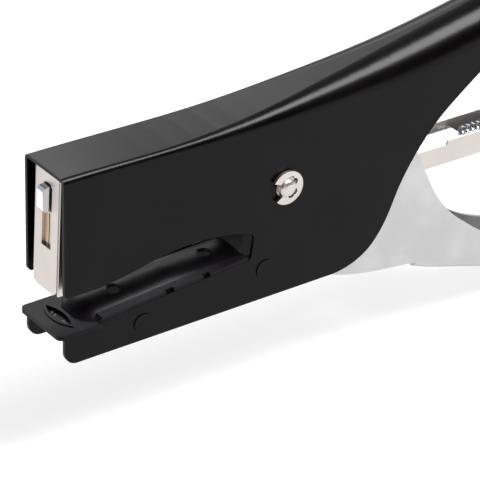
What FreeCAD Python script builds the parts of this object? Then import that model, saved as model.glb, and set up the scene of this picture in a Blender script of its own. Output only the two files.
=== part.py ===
import FreeCAD, Part
import math
import os
import Sketcher

# Plier stapler: a pressed-steel head with a fixed lower jaw and anvil, a
# magazine and a lower handle that both turn on one pivot shaft, and a driver
# blade that slides down behind the magazine's front plate.
#
# All outlines are laid out from a datum at the head's front edge (ahead = 0)
# and the jaw's bottom edge (up = 0). Every finished piece is then moved by
# shift_ahead and shift_up, so the origin is the middle of the overall box's
# base. +X runs along the tool to the handles' ends, +Z is up, Y is across.

SIZES = (
    ("shift_ahead", -87.85, "datum to origin, along the tool"),
    ("shift_up", 27.51, "datum to origin, upwards"),
    ("body_width", 18.0, "outside width of the head"),
    ("sheet", 1.0, "head sheet thickness"),
    ("pivot_ahead", 68.0, "pivot shaft behind the front edge"),
    ("pivot_up", 31.5, "pivot shaft above the jaw bottom"),
    ("shaft_radius", 3.0, "pivot shaft"),
    ("running_gap", 0.05, "radial clearance of turning pieces"),
    ("groove_radius", 2.2, "ring groove in the shaft"),
    ("groove_start", 9.3, "groove's inner edge from the middle"),
    ("ring_radius", 4.75, "retaining ring outside"),
    ("ring_thick", 0.9, "retaining ring thickness"),
    ("tip_radius", 2.45, "shaft end outside the groove"),
    ("shaft_reach", 11.2, "shaft end from the middle"),
    ("head_radius", 4.6, "shaft head"),
    ("washer_radius", 6.0, "side washers"),
    ("lever_width", 15.0, "lower handle outside"),
    ("lever_sheet", 1.2, "lower handle sheet"),
    ("jaw_rivet_radius", 1.5, "anvil rivet shank"),
    ("jaw_rivet_head", 2.75, "anvil rivet head"),
    ("front_rivet_ahead", 23.8, "front anvil rivet"),
    ("front_rivet_up", 5.0, "front anvil rivet"),
    ("rear_rivet_ahead", 62.0, "rear anvil rivet"),
    ("rear_rivet_up", 8.7, "rear anvil rivet"),
    ("rivet_head_thick", 0.3, "anvil rivet head"),
    ("leg_outside", 7.9, "anvil legs, half width outside"),
    ("ridge_half", 6.75, "anvil ridge, half width"),
    ("recess_ahead", 3.9, "clinch recess"),
    ("arm_thick", 2.8, "drive arm"),
    ("pin_ahead", 52.0, "drive pin"),
    ("pin_up", 42.0, "drive pin"),
    ("pin_radius", 2.0, "drive pin"),
    ("spacer_radius", 4.2, "spacer tubes beside the drive arm"),
    ("ear_inside", 5.2, "magazine ears and cheeks, half width inside"),
    ("ear_sheet", 0.6, "magazine ears and cheeks"),
    ("rail_half", 5.15, "magazine rail, half width outside"),
    ("rail_sheet", 0.5, "magazine rail sheet"),
    ("rail_lean", 1.0, "nose-up lean of the magazine, degrees"),
    ("cheek_foot", 18.9, "underside of the cheeks at the front"),
    ("rail_bottom", 21.6, "underside of the rail"),
    ("rail_top", 27.2, "top of the rail's walls"),
    ("lip_top", 28.3, "top of the raised rear walls"),
    ("lip_start", 124.0, "front of the raised rear walls"),
    ("rail_start", 1.6, "front of the rail"),
    ("rail_end", 150.0, "rear of the rail"),
    ("saddle_thick", 0.8, "web of the ears and cheeks under the rail"),
    ("plate_lean", 2.3, "backward lean of the front plate, degrees"),
    ("plate_foot_ahead", -0.17, "bottom of the front plate's face"),
    ("plate_foot_up", 18.6, "bottom of the front plate's face"),
    ("plate_width", 10.3, "front plate"),
    ("plate_height", 33.2, "front plate"),
    ("plate_thick", 0.8, "front plate"),
    ("slot_width", 4.2, "front plate slot"),
    ("slot_bottom", 12.2, "slot from the plate's foot"),
    ("slot_top", 30.6, "slot from the plate's foot"),
    ("blade_width", 9.1, "driver blade"),
    ("blade_thick", 0.5, "driver blade"),
    ("blade_gap", 0.05, "blade behind the front plate"),
    ("blade_foot", 10.7, "blade's edge from the plate's foot"),
    ("blade_top", 32.6, "blade's top from the plate's foot"),
    ("window_half", 2.4, "blade window, half width"),
    ("window_bottom", 22.2, "blade window from the plate's foot"),
    ("window_top", 31.0, "blade window from the plate's foot"),
    ("staple_half", 4.6, "staple crown, half width"),
    ("staple_wire", 0.5, "staple wire"),
    ("staple_top", 27.1, "top of the staple crowns"),
    ("strip_length", 29.7, "one strip of staples"),
    ("strip_count", 4, "strips in the magazine"),
    ("strip_gap", 0.1, "gap between strips"),
    ("pusher_length", 9.6, "pusher block"),
    ("pusher_half", 4.5, "pusher block, half width"),
    ("pusher_top", 26.7, "top of the pusher block"),
    ("rod_radius", 1.2, "guide rod"),
    ("rod_up", 25.0, "guide rod's axis"),
    ("rod_front", 122.4, "front end of the guide rod"),
    ("coil_radius", 2.45, "pusher spring, mean radius"),
    ("coil_wire", 0.35, "pusher spring, wire radius"),
    ("catch_thick", 1.6, "rod catch plate"),
    ("catch_reach", 157.0, "rear end of the finger grip"),
    ("twist_radius", 4.85, "return spring, mean radius"),
    ("twist_wire", 0.4, "return spring, wire radius"),
)

Vec = FreeCAD.Vector
ALONG = Vec(1, 0, 0)
ACROSS = Vec(0, 1, 0)
UP = Vec(0, 0, 1)
DATUM = ("Dims.shift_ahead", "0", "Dims.shift_up")

# Crown of the head and upper handle: distance along, height, corner radius.
CROWN = (
    (-1, 54.0, 1.5), (18, 53.5, 1.5), (36, 53.0, 1.7), (48, 53.1, 2.4), (63, 53.9, 3.5),
    (78, 55.4, 5.0), (92, 57.0, 6.4), (107, 59.1, 7.7), (119, 61.1, 8.3), (131, 63.3, 8.5),
    (145, 65.7, 8.5), (160, 67.6, 8.5), (171, 68.4, 8.5), (180, 68.5, 8.5),
)
# Keel of the lower handle's channel: distance along, height, corner radius.
KEEL = (
    (112.5, -8.4, 2.6), (118, -11.0, 3.8), (124, -13.3, 4.8), (131, -15.5, 5.0),
    (140, -18.4, 5.0), (152, -22.0, 5.0), (165, -25.3, 5.0), (180, -28.2, 5.0),
)
# Ridge of the anvil pressing: distance along, foot height, crest height.
RIDGE = ((13.0, 9.7, 12.6), (35.0, 11.25, 14.2), (56.6, 12.8, 13.9))

doc = FreeCAD.newDocument("plier_stapler")
sheet = doc.addObject("Spreadsheet::Sheet", "Dims")
for row, (alias, number, note) in enumerate(SIZES, start=1):
    sheet.set(f"A{row}", note)
    sheet.set(f"B{row}", str(number))
    sheet.setAlias(f"B{row}", alias)
doc.recompute()

nodes = []


def value(expression):
    """The number that an expression on the sheet gives."""
    return float(sheet.evalExpression(str(expression)))


def dim(alias):
    return value(f"Dims.{alias}")


def point(ahead, up, across=0.0):
    return Vec(ahead, across, up)


# ---------------------------------------------------------------- placing

def place(piece, label, at=("0", "0", "0"), lean="0"):
    """Names a finished piece and moves it from the datum to the origin."""
    piece.Label = label
    turn = FreeCAD.Rotation(ACROSS, value(lean))
    piece.Placement = FreeCAD.Placement(Vec(0, 0, 0), turn)
    for axis, shift, offset in zip("xyz", DATUM, at):
        piece.setExpression(f"Placement.Base.{axis}", f"{shift} + {offset}")
    if lean != "0":
        piece.setExpression("Placement.Rotation.Angle", f"{lean} * 1 deg")
    nodes.append(piece)


def leaned(ahead, up="0"):
    """A place given in the magazine's own leaning directions."""
    return (f"({ahead}) * cos(Dims.rail_lean) + ({up}) * sin(Dims.rail_lean)", "0",
            f"({up}) * cos(Dims.rail_lean) - ({ahead}) * sin(Dims.rail_lean)")


def place_shape(shape, label, lean="0"):
    """A piece whose shape is worked out here rather than by features."""
    piece = doc.addObject("Part::Feature", label)
    piece.Shape = Part.makeCompound([shape]) if len(shape.Solids) == 1 else shape
    place(piece, label, lean=lean)
    return piece


# ---------------------------------------------------------------- sketches

def origin_plane(body, role):
    return next(f for f in body.Origin.OriginFeatures if f.Role == role)


def new_sketch(body, role="XZ_Plane"):
    sketch = body.newObject("Sketcher::SketchObject", f"{body.Name}_sketch")
    sketch.AttachmentSupport = [(origin_plane(body, role), "")]
    sketch.MapMode = "FlatFace"
    return sketch


def lock(sketch, geometry, end, first, second):
    """Fixes one point of a sketch at two expressions from its origin."""
    for kind, expression in (("DistanceX", first), ("DistanceY", second)):
        index = sketch.addConstraint(
            Sketcher.Constraint(kind, -1, 1, geometry, end, value(expression)))
        sketch.setExpression(f"Constraints[{index}]", str(expression))


def draw_polygon(sketch, corners):
    """A closed outline of straight edges, each corner bound to the sheet."""
    start = len(sketch.Geometry)
    flat = [Vec(value(a), value(b), 0) for a, b in corners]
    count = len(flat)
    for i in range(count):
        sketch.addGeometry(Part.LineSegment(flat[i], flat[(i + 1) % count]))
    for i in range(count):
        following = start + (i + 1) % count
        sketch.addConstraint(Sketcher.Constraint("Coincident", start + i, 2, following, 1))
    for i, (first, second) in enumerate(corners):
        lock(sketch, start + i, 1, first, second)


def draw_circle(sketch, first, second, radius):
    index = sketch.addGeometry(
        Part.Circle(Vec(value(first), value(second), 0), UP, value(radius)))
    lock(sketch, index, 3, first, second)
    rule = sketch.addConstraint(Sketcher.Constraint("Radius", index, value(radius)))
    sketch.setExpression(f"Constraints[{rule}]", str(radius))


def new_body(name):
    return doc.addObject("PartDesign::Body", name)


def pad(body, sketch, length, midplane=True):
    feature = body.newObject("PartDesign::Pad", f"{body.Name}_pad")
    feature.Profile = sketch
    feature.Midplane = midplane
    feature.setExpression("Length", length)
    doc.recompute()
    return feature


def pocket(body, sketch, length):
    """A cut the same way to both sides of its sketch; it must remove something."""
    before = body.Shape.Volume
    feature = body.newObject("PartDesign::Pocket", f"{body.Name}_pocket")
    feature.Profile = sketch
    feature.Midplane = True
    feature.setExpression("Length", length)
    doc.recompute()
    if body.Shape.Volume > before - 0.01:
        raise RuntimeError(f"a pocket of {body.Name} cuts nothing")
    return feature


def round_edges(body, base, picks, radius):
    """Rounds the edges whose middle is close to one of the picked points."""
    names = []
    for index, edge in enumerate(base.Shape.Edges, start=1):
        middle = edge.valueAt((edge.FirstParameter + edge.LastParameter) / 2)
        if any((middle - pick).Length < 0.05 for pick in picks):
            names.append(f"Edge{index}")
    if len(names) != len(picks):
        raise RuntimeError(f"{body.Name}: {len(names)} edges to round, not {len(picks)}")
    feature = body.newObject("PartDesign::Fillet", f"{body.Name}_fillet")
    feature.Base = (base, names)
    feature.Radius = radius
    doc.recompute()
    return feature


def revolve(body, corners):
    """Turns a half section, drawn as (radius, across), about the Y axis."""
    sketch = new_sketch(body, "XY_Plane")
    draw_polygon(sketch, corners)
    feature = body.newObject("PartDesign::Revolution", f"{body.Name}_turning")
    feature.Profile = sketch
    feature.ReferenceAxis = (sketch, ["V_Axis"])
    feature.Angle = 360
    doc.recompute()
    return feature


# ---------------------------------------------------------------- solids

def cylinder_across(name, ahead, up, radius, start, length):
    """A Part cylinder whose axis runs across the tool, from start."""
    rod = doc.addObject("Part::Cylinder", name)
    rod.setExpression("Radius", radius)
    rod.setExpression("Height", length)
    rod.Placement = FreeCAD.Placement(Vec(0, 0, 0), FreeCAD.Rotation(ALONG, -90))
    for axis, offset in zip("xyz", (ahead, start, up)):
        rod.setExpression(f"Placement.Base.{axis}", offset)
    return rod


def ring_across(name, outer, inner, start, length):
    """A Part ring on the pivot's axis."""
    ring = doc.addObject("Part::Cut", name)
    centre = ("Dims.pivot_ahead", "Dims.pivot_up")
    ring.Base = cylinder_across(f"{name}_rim", *centre, outer, start, length)
    ring.Tool = cylinder_across(f"{name}_hole", *centre, inner, start, length)
    return ring


def group(label, members):
    bundle = doc.addObject("Part::Compound", label)
    bundle.Links = members
    place(bundle, label)
    return bundle


def slab(outline, half):
    """A side outline made into a solid of the given half width."""
    face = Part.Face(Part.Wire(Part.__sortEdges__(outline)))
    solid = face.extrude(ACROSS * (2 * half))
    solid.translate(ACROSS * -half)
    return solid


def straight(*stops):
    return [Part.LineSegment(a, b).toShape() for a, b in zip(stops, stops[1:])]


def flowing(*stops):
    curve = Part.BSplineCurve()
    curve.interpolate(list(stops))
    return [curve.toShape()]


def box(low, high):
    size = high - low
    return Part.makeBox(size.x, size.y, size.z, low)


def bore(ahead, up, radius, half=20.0):
    return Part.makeCylinder(radius, 2 * half, point(ahead, up, -half), ACROSS)


def round_corners(shape, corners):
    """Rounds every edge that runs across the tool at the given places."""
    for ahead, up, radius in corners:
        edges = []
        for edge in shape.Edges:
            ends = [v.Point for v in edge.Vertexes]
            if len(ends) != 2 or abs(ends[0].x - ends[1].x) + abs(ends[0].z - ends[1].z) > 0.01:
                continue
            if math.hypot(ends[0].x - ahead, ends[0].z - up) < 0.2:
                edges.append(edge)
        if not edges:
            raise RuntimeError(f"no corner at {ahead}, {up}")
        shape = shape.makeFillet(radius, edges)
    return shape


def arched_section(ahead, crest, radius, half, flat):
    """A cross-section with two rounded corners at its crest and a flat far side."""
    side = 1 if crest > flat else -1
    shoulder = crest - side * radius
    turn = radius * math.sqrt(0.5)
    inner = half - radius
    left = Part.Arc(point(ahead, shoulder, -half),
                    point(ahead, shoulder + side * turn, -inner - turn),
                    point(ahead, crest, -inner)).toShape()
    right = Part.Arc(point(ahead, crest, inner),
                     point(ahead, shoulder + side * turn, inner + turn),
                     point(ahead, shoulder, half)).toShape()
    return Part.Wire(
        straight(point(ahead, flat, -half), point(ahead, shoulder, -half)) + [left]
        + straight(point(ahead, crest, -inner), point(ahead, crest, inner)) + [right]
        + straight(point(ahead, shoulder, half), point(ahead, flat, half),
                   point(ahead, flat, -half)))


def arched_bar(line, half, flat, inset, count):
    """A long solid through evenly spread cross-sections of a crown or keel line."""
    curve = Part.BSplineCurve()
    curve.interpolate([point(ahead, crest, radius) for ahead, crest, radius in line])
    sections = []
    for step in range(count + 1):
        stop = curve.value(curve.LastParameter * step / count)
        side = 1 if stop.z > flat else -1
        sections.append(arched_section(
            stop.x, stop.z - side * inset, max(stop.y - inset, 0.5), half - inset, flat))
    return Part.makeLoft(sections, True, True)


# ---------------------------------------------------------------- the head

def make_body_shell():
    """Head, lower jaw arms and upper handle: one channel of folded sheet."""
    half = dim("body_width") / 2
    sheet_thick = dim("sheet")
    lower_edge = (point(10, 19.8), point(20, 21.1), point(30, 22.9), point(38, 23.6),
                  point(46, 23.2), point(53, 22.0), point(58.6, 20.2))
    arm_top = (point(58.6, 20.2), point(57.4, 12.85), point(11.3, 9.6), point(10.8, 8.0),
               point(0, 8.0))
    rear_edge = (point(84, 0), point(88, 0.6), point(92, 2.0), point(95.5, 4.2),
                 point(98.5, 7.4), point(101.5, 12.2), point(105, 19.8), point(109, 26.4),
                 point(114.3, 33.2), point(120, 38.6), point(125.5, 42.8), point(131, 46.7),
                 point(137, 50.0), point(144, 52.3), point(154, 54.1), point(164, 55.2),
                 point(177.6, 55.6))
    outline = (straight(point(0, 90), point(0, 19.8), point(10, 19.8)) + flowing(*lower_edge)
               + straight(*arm_top) + straight(point(0, 8.0), point(0, 0), point(84, 0))
               + flowing(*rear_edge)
               + straight(point(177.6, 55.6), point(177.6, 90), point(0, 90)))
    shell = arched_bar(CROWN, half, -20.0, 0.0, 26)
    shell = shell.cut(arched_bar(CROWN, half, -25.0, sheet_thick, 26))
    shell = shell.common(slab(outline, half + 1))
    shell = round_corners(shell, (
        (0, 19.8, 1.4), (0, 0, 3.8), (58.6, 20.2, 2.0), (57.4, 12.85, 1.5), (177.6, 55.6, 5.0)))
    shell = shell.cut(bore(dim("pivot_ahead"), dim("pivot_up"), dim("shaft_radius")))
    for end in ("front", "rear"):
        shell = shell.cut(bore(dim(f"{end}_rivet_ahead"), dim(f"{end}_rivet_up"),
                               dim("jaw_rivet_radius")))
    place_shape(shell, "body_shell")


def ridge_solid(inset, lower=0.0):
    """The hill of the anvil pressing: a shallow arch with a ball-shaped front."""
    half = dim("ridge_half") - inset
    sections = []
    for ahead, foot, crest in RIDGE:
        foot, crest = foot - lower, crest - inset
        arc = Part.Arc(point(ahead, foot, -half), point(ahead, crest), point(ahead, foot, half))
        sections.append(Part.Wire([arc.toShape()] + straight(point(ahead, foot, half),
                                                             point(ahead, foot, -half))))
    ahead, foot, crest = RIDGE[0]
    rise = crest - foot + lower - inset
    ball = (half ** 2 + rise ** 2) / (2 * rise)
    front = Part.makeSphere(ball, point(ahead, crest - inset - ball))
    front = front.common(box(point(0, foot - lower - 1.4, -20), point(ahead, 20, 20)))
    return Part.makeLoft(sections, True, True).fuse(front)


def lens(base, reach, half, height):
    """An upright solid with a pointed oval outline that lies across the tool."""
    radius = (reach ** 2 + half ** 2) / (2 * half)
    offset = ALONG * (radius - half)
    front = Part.makeCylinder(radius, height, base + offset, UP)
    return front.common(Part.makeCylinder(radius, height, base - offset, UP))


def make_anvil_plate():
    """Anvil pressing: a flat nose plate with the clinch recess, a rounded
    ridge with two holes, side flanges on the arms' edges and two legs
    between the arms."""
    leg = dim("leg_outside")
    plate = box(point(-1.9, 8.1, -9.4), point(11.0, 9.4, 9.4))
    plate = plate.makeFillet(1.6, [e for e in plate.Edges if abs(
        e.Vertexes[0].X + 1.9) + abs(e.Vertexes[1].X + 1.9) < 0.01
        and abs(e.Vertexes[0].Z - e.Vertexes[1].Z) > 1])
    legs = slab(straight(point(12, 10.3), point(12, 4.6), point(16, 2.6), point(63, 4.2),
                         point(66, 7.2), point(66, 11.8), point(56.6, 13.3), point(12, 10.3)),
                leg)
    legs = legs.cut(box(point(5, 0, -leg + 1), point(70, 20, leg - 1)))
    flange = slab(straight(point(11.4, 9.62), point(56.6, 12.81), point(56.6, 13.8),
                           point(11.4, 10.62), point(11.4, 9.62)), 8.9)
    for low, high in ((31.0, 33.4), (42.6, 44.6)):
        for side in (-1, 1):
            notch = box(point(low, 5, 0), point(high, 20, 1.2))
            notch.translate(ACROSS * (leg + 0.05 if side > 0 else -leg - 1.25))
            flange = flange.cut(notch)
    step = slab(straight(point(10.4, 8.1), point(10.75, 8.1), point(11.25, 9.63),
                         point(11.9, 9.67), point(11.9, 10.66), point(10.4, 9.4),
                         point(10.4, 8.1)), 8.9)
    inside = box(point(5, 0, -6.0), point(70, 20, 6.0))
    anvil = plate.fuse(ridge_solid(0.0)).cut(ridge_solid(1.0, 0.4))
    anvil = anvil.fuse([legs, flange.cut(inside), step.cut(inside)])
    recess = point(dim("recess_ahead"), 8.75)
    lip = lens(recess, 7.0, 2.5, 0.9)
    anvil = anvil.fuse(lip).cut(lens(recess, 5.9, 1.55, 4.0))
    for across in (-3.9, -2.5, 1.5, 2.9):
        dimple = Part.makeSphere(0.75, recess + Vec(0, across + 0.5, 0.35))
        anvil = anvil.cut(dimple)
    for ahead, across in ((19.6, -1.2), (48.4, -0.2)):
        anvil = anvil.cut(Part.makeCylinder(2.05, 8.0, point(ahead, 11.3, across), UP))
    for end in ("front", "rear"):
        anvil = anvil.cut(bore(dim(f"{end}_rivet_ahead"), dim(f"{end}_rivet_up"),
                               dim("jaw_rivet_radius")))
    place_shape(anvil, "anvil_plate")


def make_anvil_rivets():
    """Four rivets that hold the anvil's legs between the jaw arms."""
    rivets = []
    inner = "(Dims.leg_outside - 1)"
    for end in ("front", "rear"):
        for side, start in (("near", "-1 * Dims.body_width / 2"), ("far", inner)):
            name = f"{end}_{side}"
            centre = (f"Dims.{end}_rivet_ahead", f"Dims.{end}_rivet_up")
            head_start = "-1 * Dims.body_width / 2 - Dims.rivet_head_thick"
            if side == "far":
                head_start = "Dims.body_width / 2"
            shank = cylinder_across(f"{name}_shank", *centre, "Dims.jaw_rivet_radius", start,
                                    f"Dims.body_width / 2 - {inner}")
            head = cylinder_across(f"{name}_head", *centre, "Dims.jaw_rivet_head", head_start,
                                   "Dims.rivet_head_thick")
            rivet = doc.addObject("Part::Fuse", f"{name}_rivet")
            rivet.Base = shank
            rivet.Tool = head
            rivets.append(rivet)
    group("anvil_rivets", rivets)


def make_pivot_shaft():
    """Headed shaft with a ring groove and a domed tip."""
    body = new_body("pivot_shaft")
    outer_groove = "-1 * (Dims.groove_start + Dims.ring_thick)"
    inner_groove = "-1 * Dims.groove_start"
    half = "Dims.body_width / 2"
    revolve(body, (
        ("0", "-1 * Dims.shaft_reach"),
        ("Dims.tip_radius * 0.55", "-1 * Dims.shaft_reach + 0.12"),
        ("Dims.tip_radius * 0.85", "-1 * Dims.shaft_reach + 0.42"),
        ("Dims.tip_radius", "-1 * Dims.shaft_reach + 0.85"),
        ("Dims.tip_radius", outer_groove), ("Dims.groove_radius", outer_groove),
        ("Dims.groove_radius", inner_groove), ("Dims.shaft_radius", inner_groove),
        ("Dims.shaft_radius", half), ("Dims.head_radius", half),
        ("Dims.head_radius", f"{half} + 1.0"),
        ("Dims.head_radius * 0.86", "Dims.shaft_reach - 0.55"),
        ("Dims.head_radius * 0.5", "Dims.shaft_reach - 0.12"),
        ("0", "Dims.shaft_reach")))
    place(body, "pivot_shaft", ("Dims.pivot_ahead", "0", "Dims.pivot_up"))


def make_retaining_ring():
    """E-shaped ring in the shaft's groove, its mouth to the front."""
    body = new_body("retaining_ring")
    sketch = new_sketch(body)
    draw_circle(sketch, "0", "0", "Dims.ring_radius")
    draw_circle(sketch, "0", "0", "Dims.groove_radius")
    pad(body, sketch, "Dims.ring_thick")
    mouth = new_sketch(body)
    draw_polygon(mouth, (("0", "0"), ("-2.6", "1.7"), ("-7", "3.4"), ("-7", "-5.6"),
                         ("-1.9", "-2.3")))
    pocket(body, mouth, "4 * Dims.ring_thick")
    for degrees in (32, 66, -38, -66):
        turn = math.radians(degrees)
        notch = new_sketch(body)
        draw_circle(notch, f"{2.5 * math.cos(turn):.3f}", f"{2.5 * math.sin(turn):.3f}", "0.95")
        pocket(body, notch, "4 * Dims.ring_thick")
    place(body, "retaining_ring", (
        "Dims.pivot_ahead", "-1 * (Dims.groove_start + Dims.ring_thick / 2)", "Dims.pivot_up"))


def make_side_washers():
    """Thin washers between the lower handle's cheeks and the head's sides."""
    length = "(Dims.body_width / 2 - Dims.sheet - Dims.lever_width / 2 - 0.1)"
    inner = "Dims.lever_width / 2 + 0.05"
    members = [
        ring_across("far_washer", "Dims.washer_radius", "Dims.shaft_radius + 0.01", inner, length),
        ring_across("near_washer", "Dims.washer_radius", "Dims.shaft_radius + 0.01",
                    f"-1 * ({inner}) - {length}", length)]
    group("side_washers", members)


# ---------------------------------------------------------------- the lower handle

def make_lower_handle():
    """Two cheeks on the shaft that run back into a channel open at the top."""
    half = dim("lever_width") / 2
    wall = dim("lever_sheet")
    top_edge = (point(176, -19.3), point(166, -16.6), point(156, -13.3), point(147, -9.9),
                point(140, -7.0), point(134.6, -3.8), point(129.6, 0.2), point(125, 4.3),
                point(121, 9.0), point(117.6, 14.6), point(114.6, 21.5), point(111, 28.5),
                point(104, 34.2), point(92, 38.0))
    bottom_edge = (point(84.9, -1.2), point(90.5, -3.0), point(97, -4.4), point(103.3, -5.3),
                   point(109.7, -6.1), point(113, -6.7))
    outline = (flowing(*top_edge)
               + straight(point(92, 38.0), point(72, 40.5), point(58, 46), point(49, 47.5),
                          point(46, 44), point(47, 37.5), point(59.5, 25), point(70, 8),
                          point(84.9, -1.2))
               + flowing(*bottom_edge)
               + straight(point(113, -6.7), point(113, -40), point(176, -40), point(176, -19.3)))
    front = box(point(40, -30, -half), point(113, 60, half))
    front_hollow = box(point(40, -31, -half + wall), point(113.2, 61, half - wall))
    outside = slab(outline, half + 1)
    channel = arched_bar(KEEL, half, 60.0, 0.0, 12).cut(arched_bar(KEEL, half, 65.0, wall, 12))
    lever = front.cut(front_hollow).common(outside).fuse(channel.common(outside))
    lever = round_corners(lever, ((46, 44, 2.0), (49, 47.5, 2.0), (47, 37.5, 2.5),
                                  (59.5, 25, 3.0), (176, -19.3, 4.0)))
    lever = lever.cut(bore(dim("pivot_ahead"), dim("pivot_up"),
                           dim("shaft_radius") + dim("running_gap")))
    lever = lever.cut(bore(dim("pin_ahead"), dim("pin_up"), dim("pin_radius")))
    place_shape(lever, "lower_handle")


def make_drive_arm():
    """Flat bar on the shaft that reaches forward to the nose on the blade."""
    body = new_body("drive_arm")
    sketch = new_sketch(body)
    draw_polygon(sketch, (
        ("-1.4", "41.7"), ("-1.4", "48.4"), ("8", "49.2"), ("24", "51.0"), ("44", "50.4"),
        ("56", "48"), ("66", "38.5"), ("76", "36.5"), ("79", "32.5"), ("76", "28"),
        ("71", "26.6"), ("64", "27.4"), ("52", "34.5"), ("36", "38.6"), ("12", "40.8")))
    bar = pad(body, sketch, "Dims.arm_thick")
    rounded = round_edges(body, bar, (point(-1.4, 48.4), point(-1.4, 41.7)), 1.2)
    if rounded.Shape.isNull():
        raise RuntimeError("the nose is not rounded")
    holes = new_sketch(body)
    draw_circle(holes, "Dims.pivot_ahead", "Dims.pivot_up", "Dims.shaft_radius + Dims.running_gap")
    draw_circle(holes, "Dims.pin_ahead", "Dims.pin_up", "Dims.pin_radius")
    pocket(body, holes, "2 * Dims.arm_thick")
    place(body, "drive_arm")


def make_drive_pin():
    """Cross pin that fixes the drive arm between the cheeks."""
    pin = cylinder_across("drive_pin", "0", "0", "Dims.pin_radius", "0", "Dims.lever_width")
    pin.Label = "drive_pin"
    pin.setExpression("Placement.Base.x", "Dims.shift_ahead + Dims.pin_ahead")
    pin.setExpression("Placement.Base.y", "-1 * Dims.lever_width / 2")
    pin.setExpression("Placement.Base.z", "Dims.shift_up + Dims.pin_up")
    nodes.append(pin)


def make_arm_spacers():
    """Two tubes on the shaft, between the drive arm and the magazine's ears."""
    start = "Dims.arm_thick / 2"
    length = "(Dims.ear_inside - Dims.arm_thick / 2 - 0.1)"
    radii = ("Dims.spacer_radius", "Dims.shaft_radius + Dims.running_gap")
    members = [ring_across("far_spacer", *radii, start, length),
               ring_across("near_spacer", *radii, f"-1 * {start} - {length}", length)]
    group("arm_spacers", members)


def make_return_spring():
    """Torsion spring round the far spacer. One leg bears on the head's web
    behind the shaft, the other lifts the drive pin in front of it."""
    mean = dim("twist_radius")
    wire = dim("twist_wire")
    pitch = 0.9
    start_across = 1.85
    joint = 0.02
    last_turn = math.radians(125)
    turns = 2 + last_turn / (2 * math.pi)
    path = Part.makeHelix(pitch, pitch * turns, mean)
    profile = Part.Wire(Part.makeCircle(wire, Vec(mean, 0, 0), ACROSS))
    coil = Part.Wire(path).makePipeShell([profile], True, True)
    coil.rotate(Vec(0, 0, 0), ALONG, -90)
    coil.translate(point(dim("pivot_ahead"), dim("pivot_up"), start_across))
    end_across = start_across + pitch * turns
    rear = point(dim("pivot_ahead") + mean, dim("pivot_up"), start_across)
    front = point(dim("pivot_ahead") + mean * math.cos(last_turn),
                  dim("pivot_up") - mean * math.sin(last_turn), end_across)
    web_end = point(dim("pivot_ahead") + mean + 1.5, 53.6, start_across)
    pin_end = point(dim("pin_ahead") - 1, dim("pin_up") - 2.6, end_across)
    legs = []
    for begin, end in ((rear, web_end), (front, pin_end)):
        run = end - begin
        run.normalize()
        start = begin + run * joint
        legs.append(Part.makeCylinder(wire, (end - start).Length, start, run))
    place_shape(Part.makeCompound([coil] + legs), "return_spring")


# ---------------------------------------------------------------- the magazine

def make_magazine_rail():
    """Long channel, open at the top, that holds the strips of staples."""
    body = new_body("magazine_rail")
    sketch = new_sketch(body, "YZ_Plane")
    outside, inside = "Dims.rail_half", "(Dims.rail_half - Dims.rail_sheet)"
    floor = "Dims.rail_bottom + Dims.rail_sheet"
    draw_polygon(sketch, (
        (f"-1 * {outside}", "Dims.rail_bottom"), (outside, "Dims.rail_bottom"),
        (outside, "Dims.lip_top"), (inside, "Dims.lip_top"), (inside, floor),
        (f"-1 * {inside}", floor), (f"-1 * {inside}", "Dims.lip_top"),
        (f"-1 * {outside}", "Dims.lip_top")))
    pad(body, sketch, "Dims.rail_end - Dims.rail_start", midplane=False)
    lowered = new_sketch(body)
    draw_polygon(lowered, (
        ("-1", "Dims.rail_top"), ("Dims.lip_start - Dims.rail_start - 1", "Dims.rail_top"),
        ("Dims.lip_start - Dims.rail_start", "Dims.lip_top + 1"), ("-1", "Dims.lip_top + 1")))
    pocket(body, lowered, "3 * Dims.rail_half")
    place(body, "magazine_rail", leaned("Dims.rail_start"), "Dims.rail_lean")


def make_magazine_head():
    """Tall cheeks beside the front plate, joined by a web under the rail."""
    body = new_body("magazine_head")
    outside = "2 * (Dims.ear_inside + Dims.ear_sheet)"
    web = "Dims.rail_bottom - Dims.saddle_thick"
    sketch = new_sketch(body)
    foot = "Dims.cheek_foot"
    draw_polygon(sketch, (
        ("-0.2", foot), ("7", foot), ("13", web), ("13", "30"), ("9", "44"), ("8", "51.6"),
        ("0.4", "51.6")))
    pad(body, sketch, outside)
    inside = new_sketch(body)
    draw_polygon(inside, (("-5", "Dims.rail_bottom"), ("20", "Dims.rail_bottom"),
                          ("20", "60"), ("-5", "60")))
    pocket(body, inside, "2 * Dims.ear_inside")
    mouth = new_sketch(body)
    draw_polygon(mouth, (("-5", "0"), ("20", "0"), ("20", web), ("4", web),
                         ("4", "Dims.rail_bottom + 1"), ("-5", "Dims.rail_bottom + 1")))
    pocket(body, mouth, "2 * Dims.ear_inside")
    place(body, "magazine_head", lean="Dims.rail_lean")


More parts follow.
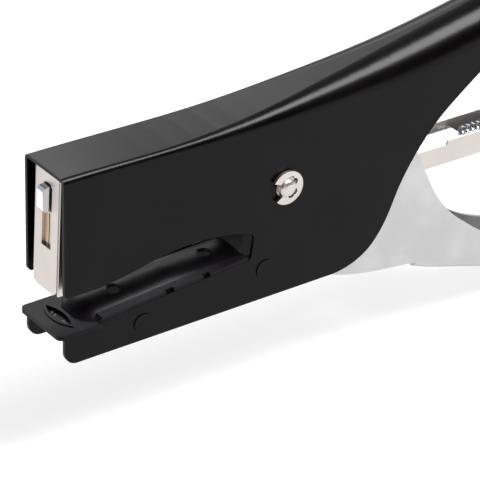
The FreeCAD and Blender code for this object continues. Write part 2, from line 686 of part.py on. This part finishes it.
def make_front_plate():
    """Front plate with the slot that the drive arm's nose rides in."""
    body = new_body("front_plate")
    sketch = new_sketch(body, "YZ_Plane")
    half = "Dims.plate_width / 2"
    draw_polygon(sketch, (
        (f"-1 * {half} + 1.2", "0"), (f"{half} - 1.2", "0"), (half, "1.2"),
        (half, "Dims.plate_height"), (f"-1 * {half}", "Dims.plate_height"),
        (f"-1 * {half}", "1.2")))
    pad(body, sketch, "Dims.plate_thick", midplane=False)
    slot = new_sketch(body, "YZ_Plane")
    edge = "Dims.slot_width / 2"
    draw_polygon(slot, (
        (f"-1 * {edge}", "Dims.slot_bottom"), (edge, "Dims.slot_bottom"),
        (edge, "Dims.slot_top - 1"), (f"{edge} - 1", "Dims.slot_top"),
        (f"-1 * {edge} + 1", "Dims.slot_top"), (f"-1 * {edge}", "Dims.slot_top - 1")))
    pocket(body, slot, "4 * Dims.plate_thick")
    place(body, "front_plate", ("Dims.plate_foot_ahead", "0", "Dims.plate_foot_up"),
          "Dims.plate_lean")


def make_driver_blade():
    """Thin blade behind the front plate, with a window for the nose."""
    body = new_body("driver_blade")
    sketch = new_sketch(body, "YZ_Plane")
    half = "Dims.blade_width / 2"
    draw_polygon(sketch, (
        (f"-1 * {half}", "Dims.blade_foot"), (half, "Dims.blade_foot"),
        (half, "Dims.blade_top"), (f"-1 * {half}", "Dims.blade_top")))
    pad(body, sketch, "Dims.blade_thick", midplane=False)
    window = new_sketch(body, "YZ_Plane")
    edge = "Dims.window_half"
    draw_polygon(window, (
        (f"-1 * {edge}", "Dims.window_bottom"), (edge, "Dims.window_bottom"),
        (edge, "Dims.window_top"), (f"-1 * {edge}", "Dims.window_top")))
    pocket(body, window, "4 * Dims.blade_thick")
    slit = new_sketch(body, "YZ_Plane")
    draw_polygon(slit, (("-0.2", "Dims.slot_bottom - 1"), ("0.2", "Dims.slot_bottom - 1"),
                        ("0.2", "Dims.window_bottom - 0.6"), ("-0.2", "Dims.window_bottom - 0.6")))
    pocket(body, slit, "4 * Dims.blade_thick")
    behind = "Dims.plate_thick + Dims.blade_gap"
    place(body, "driver_blade", (
        f"Dims.plate_foot_ahead + ({behind}) * cos(Dims.plate_lean)", "0",
        f"Dims.plate_foot_up - ({behind}) * sin(Dims.plate_lean)"), "Dims.plate_lean")


def make_magazine_bracket():
    """Saddle welded round the rail, with the two ears that turn on the shaft."""
    body = new_body("magazine_bracket")
    web = "Dims.rail_bottom - Dims.saddle_thick"
    hole_ahead = "Dims.pivot_ahead * cos(Dims.rail_lean) - Dims.pivot_up * sin(Dims.rail_lean)"
    hole_up = "Dims.pivot_ahead * sin(Dims.rail_lean) + Dims.pivot_up * cos(Dims.rail_lean)"
    sketch = new_sketch(body)
    draw_polygon(sketch, (
        ("58", web), ("80", web), ("80", "25"), ("74.5", "32"), ("72.5", "36.6"),
        ("69", "38.6"), ("66", "38.6"), ("62.5", "36.6"), ("60.5", "32"), ("58", "25")))
    pad(body, sketch, "2 * (Dims.ear_inside + Dims.ear_sheet)")
    inside = new_sketch(body)
    draw_polygon(inside, (("50", "Dims.rail_bottom"), ("90", "Dims.rail_bottom"),
                          ("90", "60"), ("50", "60")))
    pocket(body, inside, "2 * Dims.ear_inside")
    hole = new_sketch(body)
    draw_circle(hole, hole_ahead, hole_up, "Dims.shaft_radius + Dims.running_gap")
    pocket(body, hole, "4 * Dims.ear_inside")
    place(body, "magazine_bracket", lean="Dims.rail_lean")


def make_staple_strips():
    """Full load of narrow staples: strips of glued inverted U wire."""
    length = dim("strip_length")
    wire = dim("staple_wire")
    half = dim("staple_half")
    floor = dim("rail_bottom") + dim("rail_sheet") + 0.05
    strips = []
    for index in range(int(dim("strip_count"))):
        start = dim("rail_start") + 0.1 + index * (length + dim("strip_gap"))
        block = box(point(start, floor, -half), point(start + length, dim("staple_top"), half))
        space = box(point(start - 1, floor - 1, wire - half),
                    point(start + length + 1, dim("staple_top") - wire, half - wire))
        strips.append(block.cut(space))
    place_shape(Part.makeCompound(strips), "staple_strips", "Dims.rail_lean")


# ---------------------------------------------------------------- the loader

def pusher_front():
    return "(Dims.rail_start + 0.2 + Dims.strip_count * (Dims.strip_length + Dims.strip_gap))"


def make_pusher():
    """Block that the spring keeps against the last strip."""
    body = new_body("pusher")
    sketch = new_sketch(body, "YZ_Plane")
    half = "Dims.pusher_half"
    floor = "(Dims.rail_bottom + Dims.rail_sheet + 0.05)"
    draw_polygon(sketch, (
        (f"-1 * {half}", floor), (half, floor), (half, "Dims.pusher_top - 0.6"),
        (f"{half} - 0.6", "Dims.pusher_top"), (f"-1 * {half} + 0.6", "Dims.pusher_top"),
        (f"-1 * {half}", "Dims.pusher_top - 0.6")))
    draw_circle(sketch, "0", "Dims.rod_up", "Dims.rod_radius + 0.1")
    pad(body, sketch, "Dims.pusher_length", midplane=False)
    place(body, "pusher", leaned(pusher_front()), "Dims.rail_lean")


def make_guide_rod():
    rod = doc.addObject("Part::Cylinder", "guide_rod")
    rod.setExpression("Radius", "Dims.rod_radius")
    rod.setExpression("Height", "Dims.rail_end - Dims.rod_front")
    place(rod, "guide_rod", leaned("Dims.rod_front", "Dims.rod_up"), "(90 + Dims.rail_lean)")


def make_pusher_spring():
    """Coil round the guide rod, between the pusher and the rod catch."""
    mean = dim("coil_radius")
    wire = dim("coil_wire")
    start = value(f"{pusher_front()} + Dims.pusher_length") + wire + 0.05
    end = dim("rail_end") - wire - 0.05
    turns = 11
    path = Part.makeHelix((end - start) / turns, end - start, mean)
    profile = Part.Wire(Part.makeCircle(wire, Vec(mean, 0, 0), ACROSS))
    coil = Part.Wire(path).makePipeShell([profile], True, True)
    coil.rotate(Vec(0, 0, 0), ACROSS, 90)
    coil.translate(point(start, dim("rod_up")))
    place_shape(coil, "pusher_spring", "Dims.rail_lean")


def make_rod_catch():
    """Plate that closes the rail's rear end, with a finger grip behind it."""
    body = new_body("rod_catch")
    sketch = new_sketch(body)
    draw_polygon(sketch, (
        ("Dims.rail_end + 0.05", "Dims.rail_bottom - 0.4"),
        ("Dims.rail_end + Dims.catch_thick", "Dims.rail_bottom - 0.4"),
        ("Dims.rail_end + Dims.catch_thick", "30"),
        ("Dims.catch_reach", "31.6"), ("Dims.catch_reach", "33"),
        ("Dims.rail_end + 0.05", "31.4")))
    pad(body, sketch, "2 * Dims.rail_half")
    place(body, "rod_catch", lean="Dims.rail_lean")


MAKERS = (
    make_body_shell, make_anvil_plate, make_anvil_rivets, make_pivot_shaft, make_retaining_ring,
    make_side_washers, make_lower_handle, make_drive_arm, make_drive_pin, make_arm_spacers,
    make_return_spring, make_magazine_rail, make_magazine_head, make_front_plate,
    make_driver_blade, make_magazine_bracket, make_staple_strips, make_pusher, make_guide_rod,
    make_pusher_spring, make_rod_catch)

for make in MAKERS:
    make()
doc.recompute()

for thing in doc.Objects:
    if "Invalid" in thing.State or "Error" in thing.State:
        raise RuntimeError(f"{thing.Label} did not build: {thing.State}")
overall = FreeCAD.BoundBox()
for piece in nodes:
    if piece.Shape.isNull() or not piece.Shape.isValid():
        raise RuntimeError(f"{piece.Label} has no valid shape")
    overall.add(piece.Shape.BoundBox)

os.makedirs("parts", exist_ok=True)
for piece in nodes:
    piece.Shape.exportStep(f"parts/{piece.Label}.step")
    print(f"{piece.Label}: {len(piece.Shape.Solids)} solids, {piece.Shape.Volume:.1f} mm3")
print(f"X {overall.XMin:.2f} {overall.XMax:.2f}  Y {overall.YMin:.2f} {overall.YMax:.2f}"
      f"  Z {overall.ZMin:.2f} {overall.ZMax:.2f}")
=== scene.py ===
import math

import bmesh
import bpy
from mathutils import Matrix, Vector


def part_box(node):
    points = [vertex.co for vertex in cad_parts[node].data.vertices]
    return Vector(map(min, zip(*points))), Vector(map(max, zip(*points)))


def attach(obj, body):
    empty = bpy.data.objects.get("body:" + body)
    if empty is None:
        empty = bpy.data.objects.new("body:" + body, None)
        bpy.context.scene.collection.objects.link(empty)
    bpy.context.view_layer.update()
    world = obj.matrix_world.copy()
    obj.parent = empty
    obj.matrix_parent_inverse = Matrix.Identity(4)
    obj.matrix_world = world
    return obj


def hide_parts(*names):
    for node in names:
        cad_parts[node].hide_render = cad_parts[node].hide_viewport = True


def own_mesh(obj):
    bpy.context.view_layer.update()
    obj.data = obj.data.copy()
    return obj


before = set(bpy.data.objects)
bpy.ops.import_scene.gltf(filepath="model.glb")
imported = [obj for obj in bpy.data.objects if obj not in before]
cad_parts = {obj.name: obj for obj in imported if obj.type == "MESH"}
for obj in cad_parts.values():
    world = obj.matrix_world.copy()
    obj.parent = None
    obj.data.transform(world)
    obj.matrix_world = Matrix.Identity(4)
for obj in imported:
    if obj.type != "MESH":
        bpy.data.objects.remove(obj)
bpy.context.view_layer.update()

# Plier stapler. Everything is in metres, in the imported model's frame: +X runs
# from the front plate to the handles' ends, +Z is up, Y is across the tool.

MM = 0.001
MAGAZINE_LEAN = math.radians(1.0)  # nose up

# Camera: a long lens on the front and near side, from above.
CAMERA_AZIMUTH = math.radians(-35.39)
CAMERA_ELEVATION = math.radians(30.06)
CAMERA_ROLL = math.radians(0.91)
CAMERA_LENS = 331.2
CAMERA_DISTANCE = 1.1279
AIM_BEHIND_HEAD = 48.53 * MM
AIM_NEAR = 16.51 * MM
AIM_ABOVE_JAW = 25.31 * MM

# Bare metal in the anvil's clinch recess: heights are above the jaw's bottom.
RECESS_BEHIND_HEAD = 3.9 * MM
BARE_HALF = 1.4 * MM
DIMPLE_FLOOR = 8.3 * MM
DIMPLE_DEPTH = 0.4 * MM


# ---------------------------------------------------------------- materials

class Number:
    """A node's number output that can be used in Python sums."""

    def __init__(self, maker, socket):
        self.maker = maker
        self.socket = socket

    def sum(self, operation, first, second):
        return self.maker.node("ShaderNodeMath", {"operation": operation},
                               {0: first, 1: second})[0]

    def __add__(self, other):
        return self.sum("ADD", self, other)

    __radd__ = __add__

    def __sub__(self, other):
        return self.sum("SUBTRACT", self, other)

    def __rsub__(self, other):
        return self.sum("SUBTRACT", other, self)

    def __mul__(self, other):
        return self.sum("MULTIPLY", self, other)

    __rmul__ = __mul__

    def above(self, start, end):
        """0 below start, 1 above end."""
        return self.maker.node("ShaderNodeMapRange", {"interpolation_type": "SMOOTHSTEP"},
                               {"Value": self, "From Min": start, "From Max": end})[0]

    def between(self, low, high, blur):
        """1 from low to high, falling to 0 within blur on either side."""
        return self.above(low - blur, low) * (1.0 - self.above(high, high + blur))


class Maker:
    """Makes the nodes of one material or world."""

    def __init__(self, tree):
        self.tree = tree

    def node(self, kind, settings=None, inputs=None):
        """A node with its settings set first, then its sockets; gives its outputs."""
        made = self.tree.nodes.new(kind)
        for name, setting in (settings or {}).items():
            setattr(made, name, setting)
        for name, item in (inputs or {}).items():
            if isinstance(item, Number):
                self.tree.links.new(item.socket, made.inputs[name])
            else:
                made.inputs[name].default_value = item
        return [Number(self, output) for output in made.outputs]

    def place(self):
        return self.node("ShaderNodeTexCoord")[3]

    def noise(self, scale, detail=3.0, rough=0.5, stretch=(1.0, 1.0, 1.0)):
        """Noise with features of about 1/scale metres, stretched along the axes."""
        where = self.node("ShaderNodeMapping", None,
                          {"Vector": self.place(), "Scale": stretch})[0]
        return self.node("ShaderNodeTexNoise", None, {
            "Vector": where, "Scale": scale, "Detail": detail, "Roughness": rough})[0]

    def mix(self, factor, first, second):
        return self.node("ShaderNodeMix", {"data_type": "RGBA"},
                         {0: factor, 6: first, 7: second})[2]

    def bump(self, height, depth, strength=1.0):
        return self.node("ShaderNodeBump", None, {
            "Height": height, "Distance": depth, "Strength": strength})[0]


def colour(red, green, blue):
    return (red, green, blue, 1.0)


def new_material(name, fixed, build):
    """A Principled material: fixed numbers on the shader, and links from build."""
    material = bpy.data.materials.new(name)
    material.use_nodes = True
    maker = Maker(material.node_tree)
    shader = material.node_tree.nodes["Principled BSDF"]
    for socket, setting in fixed.items():
        shader.inputs[socket].default_value = setting
    for socket, item in build(maker).items():
        material.node_tree.links.new(item.socket, shader.inputs[socket])
    return material


def enamel(maker):
    """Satin black enamel with a faint orange-peel surface."""
    peel = maker.noise(1300, 2.0)
    cloud = maker.noise(60, 3.0)
    return {
        "Base Color": maker.mix(cloud.above(0.35, 0.7), colour(0.0016, 0.0011, 0.0012),
                                colour(0.0028, 0.0020, 0.0021)),
        "Roughness": 0.20 + 0.07 * cloud + 0.03 * maker.noise(700, 2.0),
        "Normal": maker.bump(peel, 0.01 * MM, 0.6)}


def anvil_finish(maker):
    """Black finish with a violet cast, worn bare in the clinch dimples."""
    grain = maker.noise(2200, 4.0, 0.6)
    cloud = maker.noise(130, 4.0)
    coat = maker.mix(cloud.above(0.35, 0.7), colour(0.0045, 0.0036, 0.0050),
                     colour(0.0085, 0.0070, 0.0095))
    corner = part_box("body_shell")[0]
    along, across, up = maker.node("ShaderNodeSeparateXYZ", None, {0: maker.place()})
    floor = corner.z + DIMPLE_FLOOR
    centre = corner.x + RECESS_BEHIND_HEAD
    bare = (up.between(floor, floor + DIMPLE_DEPTH, 0.05 * MM)
            * along.between(centre - BARE_HALF, centre + BARE_HALF, 0.1 * MM)
            * (1.0 - (across * across).above(30.0 * MM * MM, 36.0 * MM * MM)))
    return {
        "Base Color": maker.mix(bare, coat, colour(0.42, 0.33, 0.25)),
        "Metallic": bare,
        "Roughness": 0.30 + 0.10 * cloud + 0.05 * grain,
        "Normal": maker.bump(grain, 0.012 * MM, 0.6)}


def plated(light, dark, rough, along=(0.08, 1.0, 1.0), fine=2600, depth=0.006 * MM):
    """Plated steel: fine drawing lines along one direction under a bright plate."""
    def build(maker):
        lines = maker.noise(fine, 3.0, 0.55, along)
        cloud = maker.noise(90, 4.0)
        return {
            "Base Color": maker.mix(cloud.above(0.3, 0.75), dark, light),
            "Roughness": rough + 0.12 * (cloud - 0.5) + 0.08 * lines,
            "Normal": maker.bump(lines, depth, 0.5)}
    return build


MATERIALS = {
    "enamel": new_material("black_enamel", {"Specular IOR Level": 0.115}, enamel),
    "anvil": new_material("anvil_oxide", {"Specular IOR Level": 0.10}, anvil_finish),
    "nickel": new_material("nickel_plate", {"Metallic": 1.0}, plated(
        colour(0.60, 0.555, 0.52), colour(0.54, 0.50, 0.465), 0.30)),
    "upright_nickel": new_material("nickel_plate_upright", {"Metallic": 1.0}, plated(
        colour(0.66, 0.61, 0.575), colour(0.60, 0.555, 0.52), 0.34, (1.0, 1.0, 0.08))),
    "chrome": new_material("nose_chrome", {"Metallic": 1.0}, plated(
        colour(0.86, 0.88, 0.92), colour(0.78, 0.80, 0.84), 0.12)),
    "blade": new_material("blade_steel", {"Metallic": 1.0}, plated(
        colour(0.62, 0.48, 0.36), colour(0.50, 0.38, 0.28), 0.22, (1.0, 1.0, 0.06))),
    "handle": new_material("handle_chrome", {"Metallic": 1.0}, plated(
        colour(0.54, 0.535, 0.53), colour(0.45, 0.447, 0.445), 0.30, (0.3, 1.0, 0.3), 1600)),
    "wire": new_material("spring_wire", {"Metallic": 1.0}, plated(
        colour(0.70, 0.72, 0.76), colour(0.52, 0.54, 0.58), 0.22)),
    "staple": new_material("staple_wire", {"Metallic": 1.0}, plated(
        colour(0.86, 0.86, 0.86), colour(0.78, 0.78, 0.78), 0.24, (1.0, 0.1, 1.0))),
}

FINISHES = {
    "body_shell": "enamel", "anvil_rivets": "enamel", "anvil_plate": "anvil",
    "pivot_shaft": "nickel", "retaining_ring": "nickel", "side_washers": "nickel",
    "lower_handle": "handle", "drive_arm": "chrome", "drive_pin": "nickel",
    "arm_spacers": "nickel", "return_spring": "wire", "magazine_rail": "nickel",
    "magazine_head": "upright_nickel", "front_plate": "upright_nickel", "driver_blade": "blade",
    "magazine_bracket": "nickel", "staple_strips": "staple", "pusher": "staple",
    "guide_rod": "chrome", "pusher_spring": "wire", "rod_catch": "nickel",
}


def finish_nodes():
    """Gives every CAD node its material."""
    for name, finish in FINISHES.items():
        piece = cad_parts[name]
        piece.data.materials.clear()
        piece.data.materials.append(MATERIALS[finish])


# ---------------------------------------------------------------- piece helpers

def deselect():
    bpy.ops.object.select_all(action="DESELECT")


def apply_place(piece):
    """Moves a piece's place and turn into its mesh."""
    deselect()
    piece.select_set(True)
    bpy.context.view_layer.objects.active = piece
    bpy.ops.object.transform_apply(location=True, rotation=True, scale=True)


def apply_modifier(piece, kind, **settings):
    modifier = piece.modifiers.new(kind.lower(), kind)
    for name, setting in settings.items():
        setattr(modifier, name, setting)
    deselect()
    piece.select_set(True)
    bpy.context.view_layer.objects.active = piece
    bpy.ops.object.modifier_apply(modifier=modifier.name)


# ---------------------------------------------------------------- staples

STAPLE_WIRE = 0.5 * MM
STAPLE_PITCH = 0.503 * MM
STAPLES_IN_STRIP = 59
STRIPS = 4
STAPLE_LEG = 4.95 * MM
STAPLE_ROUNDING = 0.11 * MM
WIRE_SHARE = 0.94  # of the wire's width, so a gap shows between staples
STRIP_SPACING = 29.8 * MM


def select_faces(piece, wanted):
    """In edit mode, selects only the faces that the test accepts."""
    bpy.ops.mesh.select_mode(type="FACE")
    bpy.ops.mesh.select_all(action="DESELECT")
    mesh = bmesh.from_edit_mesh(piece.data)
    for face in mesh.faces:
        face.select_set(wanted(face))
    bmesh.update_edit_mesh(piece.data)


def make_staples():
    """Four strips of separate staples in place of the plain strips."""
    low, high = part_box("staple_strips")
    half = (high.y - low.y) / 2
    deselect()
    bpy.ops.mesh.primitive_cube_add(size=1.0)
    staple = bpy.context.object
    staple.name = "staple_wires"
    staple.dimensions = (STAPLE_WIRE * WIRE_SHARE, 2 * half, STAPLE_WIRE)
    staple.location = (STAPLE_WIRE / 2, 0, -STAPLE_WIRE / 2)
    apply_place(staple)
    bpy.ops.object.mode_set(mode="EDIT")
    for side in (-1, 1):
        bpy.ops.mesh.select_all(action="SELECT")
        bpy.ops.mesh.bisect(plane_co=(0, side * (half - STAPLE_WIRE), 0), plane_no=(0, 1, 0))
    select_faces(staple, lambda face: face.normal.z < -0.9
                 and abs(face.calc_center_median().y) > half - STAPLE_WIRE)
    bpy.ops.mesh.extrude_region_move(
        TRANSFORM_OT_translate={"value": (0, 0, STAPLE_WIRE - STAPLE_LEG)})
    bpy.ops.object.mode_set(mode="OBJECT")
    apply_modifier(staple, "BEVEL", width=STAPLE_ROUNDING, segments=1, limit_method="ANGLE")
    apply_modifier(staple, "ARRAY", count=STAPLES_IN_STRIP, use_relative_offset=False,
                   use_constant_offset=True, constant_offset_displace=(STAPLE_PITCH, 0, 0))
    apply_modifier(staple, "ARRAY", count=STRIPS, use_relative_offset=False,
                   use_constant_offset=True, constant_offset_displace=(STRIP_SPACING, 0, 0))
    staple.rotation_euler = (0, MAGAZINE_LEAN, 0)
    staple.location = (low.x + STAPLE_LEG * math.sin(MAGAZINE_LEAN), 0, high.z)
    apply_place(staple)
    staple.data.materials.append(MATERIALS["staple"])
    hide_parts("staple_strips")
    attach(staple, "magazine")


# ---------------------------------------------------------------- spring

SPRING_WIRE = 0.35 * MM
SPRING_RADIUS = 2.45 * MM
SPRING_TURNS = 11


def make_pusher_spring():
    """A coil in place of the plain pusher spring, carried with the loader."""
    low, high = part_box("pusher_spring")
    middle = (low + high) / 2
    length = high.x - low.x - 2 * SPRING_WIRE
    deselect()
    bpy.ops.mesh.primitive_circle_add(
        vertices=10, radius=SPRING_WIRE, rotation=(math.pi / 2, 0, 0),
        location=(-length / 2, 0, SPRING_RADIUS))
    spring = bpy.context.object
    spring.name = "pusher_coil"
    apply_place(spring)
    apply_modifier(spring, "SCREW", axis="X", angle=2 * math.pi, steps=24, render_steps=24,
                   screw_offset=length / SPRING_TURNS, iterations=SPRING_TURNS)
    bpy.ops.object.mode_set(mode="EDIT")
    bpy.ops.mesh.select_all(action="SELECT")
    bpy.ops.mesh.fill_holes(sides=12)
    bpy.ops.mesh.select_all(action="SELECT")
    bpy.ops.mesh.normals_make_consistent(inside=False)
    bpy.ops.object.mode_set(mode="OBJECT")
    spring.rotation_euler = (0, MAGAZINE_LEAN, 0)
    spring.location = middle
    apply_place(spring)
    bpy.ops.object.shade_smooth_by_angle(angle=math.radians(50))
    spring.data.materials.append(MATERIALS["wire"])
    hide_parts("pusher_spring")
    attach(spring, "loader")
    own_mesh(spring)


# ---------------------------------------------------------------- stage

def head_point(behind, near, above):
    """A point given from the head's front edge, the middle and the jaw's bottom."""
    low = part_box("body_shell")[0]
    return Vector((low.x + behind, -near, low.z + above))


def add_camera():
    data = bpy.data.cameras.new("camera")
    data.lens = CAMERA_LENS
    data.sensor_width = 36.0
    data.clip_end = 20.0
    camera = bpy.data.objects.new("camera", data)
    bpy.context.scene.collection.objects.link(camera)
    turn = (Matrix.Rotation(CAMERA_AZIMUTH, 3, "Z")
            @ Matrix.Rotation(math.pi / 2 - CAMERA_ELEVATION, 3, "X")
            @ Matrix.Rotation(CAMERA_ROLL, 3, "Z"))
    aim = head_point(AIM_BEHIND_HEAD, AIM_NEAR, AIM_ABOVE_JAW)
    back = turn @ Vector((0, 0, 1))
    camera.matrix_world = Matrix.Translation(aim + back * CAMERA_DISTANCE) @ turn.to_4x4()
    bpy.context.scene.camera = camera


def pale_paint(maker):
    return {"Base Color": maker.mix(maker.noise(3.0), colour(0.30, 0.30, 0.30),
                                    colour(0.32, 0.32, 0.32))}


def add_floor():
    bpy.ops.mesh.primitive_plane_add(size=8.0, location=(0, 0, 0))
    floor = bpy.context.object
    floor.name = "floor"
    floor.data.materials.append(new_material("pale_floor", {
        "Roughness": 0.9, "Specular IOR Level": 0.0,
        "Emission Color": colour(1.0, 1.0, 1.0), "Emission Strength": 0.72}, pale_paint))


def add_world():
    """Pale surroundings that are dim near the horizon on the near side."""
    world = bpy.data.worlds.new("studio")
    bpy.context.scene.world = world
    world.use_nodes = True
    maker = Maker(world.node_tree)
    direction = maker.node("ShaderNodeTexCoord")[0]
    across, up = maker.node("ShaderNodeSeparateXYZ", None, {0: direction})[1:]
    near = (across * -1.0).above(-0.25, 0.35)
    low = 1.0 - up.above(0.45, 0.85)
    dim = near * low
    tone = maker.mix(dim, colour(0.85, 0.85, 0.95), colour(0.02, 0.02, 0.022))
    background = world.node_tree.nodes["Background"]
    world.node_tree.links.new(tone.socket, background.inputs["Color"])
    background.inputs["Strength"].default_value = 0.55


def add_softbox(name, place, aim, width, height, energy):
    data = bpy.data.lights.new(name, "AREA")
    data.shape = "RECTANGLE"
    data.size = width
    data.size_y = height
    data.energy = energy
    lamp = bpy.data.objects.new(name, data)
    bpy.context.scene.collection.objects.link(lamp)
    lamp.location = place
    lamp.rotation_euler = (Vector(aim) - Vector(place)).to_track_quat("-Z", "Y").to_euler()


def add_lights():
    """One softbox over the near side, and two beyond the far side: a wide one
    that shines on the head's top and a small one for the rail behind it."""
    add_softbox("overhead", (0.26, -0.28, 0.78), (0, 0, 0.05), 0.36, 0.40, 13.0)
    add_softbox("rail_light", (0.70, 0.72, 0.56), (0.05, 0, 0.06), 0.24, 0.30, 1.1)
    add_softbox("backlight", (0.20, 0.72, 0.58), (-0.08, 0, 0.08), 0.42, 0.40, 1.9)


# ---------------------------------------------------------------- the scene

finish_nodes()
make_staples()
make_pusher_spring()
add_camera()
add_floor()
add_world()
add_lights()
bpy.context.scene.view_settings.view_transform = "Standard"
